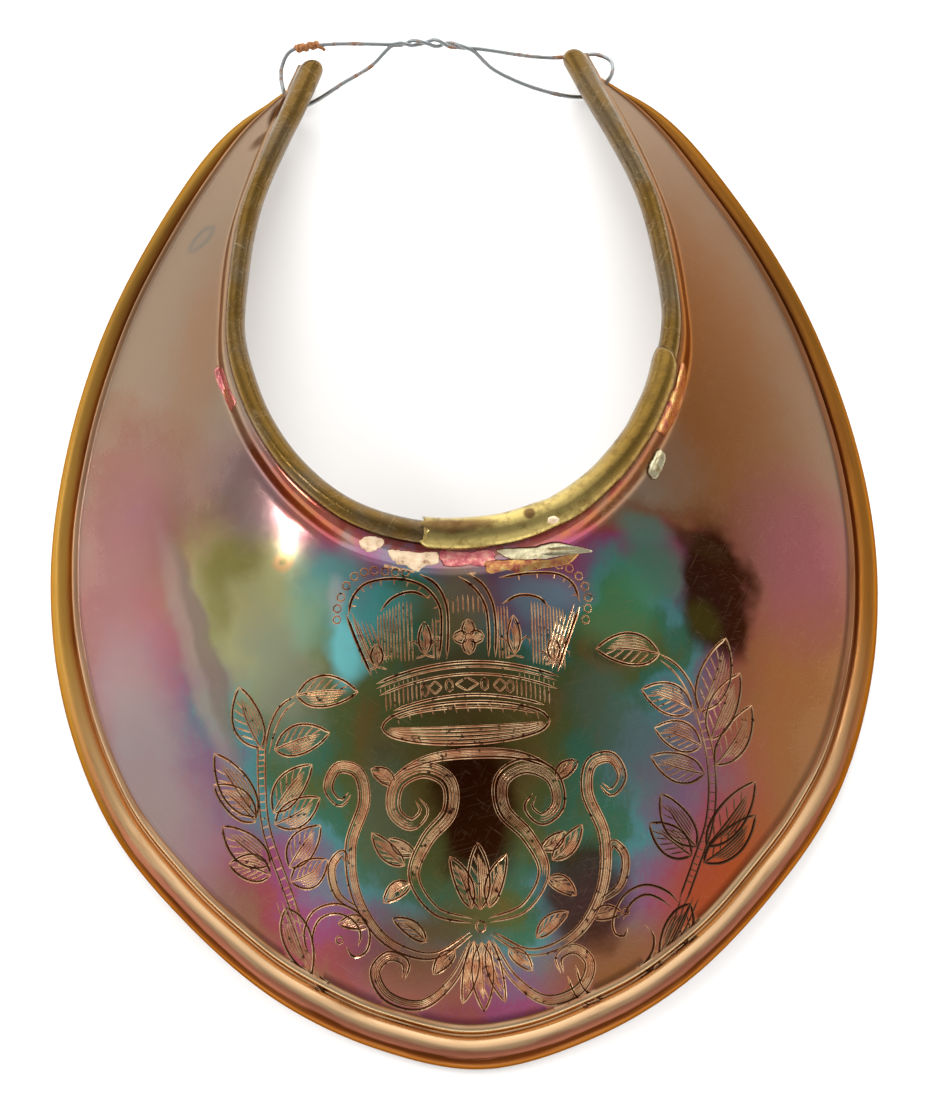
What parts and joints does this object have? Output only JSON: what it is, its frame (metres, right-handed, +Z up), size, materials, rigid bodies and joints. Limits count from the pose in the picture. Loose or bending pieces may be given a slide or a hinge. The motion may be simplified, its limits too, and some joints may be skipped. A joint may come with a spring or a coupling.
{
  "type": "gorget",
  "caption": "Officer's gorget: a domed gilt-metal crescent with a rolled border, a tube along its neck edge with a repair sleeve on it, and a loop of wire through its horns.",
  "frame": {"origin": "on the surface that the gorget lies on, under the middle of its box", "axes": "+Z up out of the front face, +Y towards the ends of the horns, +X to the right as the front is seen"},
  "size_m": [0.102, 0.13, 0.0299],
  "materials": {
    "gilt_plate": "polished and gilt, tarnished to colours from gold through magenta to blue-green",
    "neck_brass": "satin, dulled to olive brown",
    "sleeve_brass": "satin, yellow, scratched and stained",
    "wire_steel": "drawn, grey, rusted at the knot"
  },
  "bodies": {
    "root": {"plate": "gilt_plate", "neck_tube": "neck_brass", "repair_sleeve": "sleeve_brass", "hanging_wire": "wire_steel"}
  },
  "joints": []
}
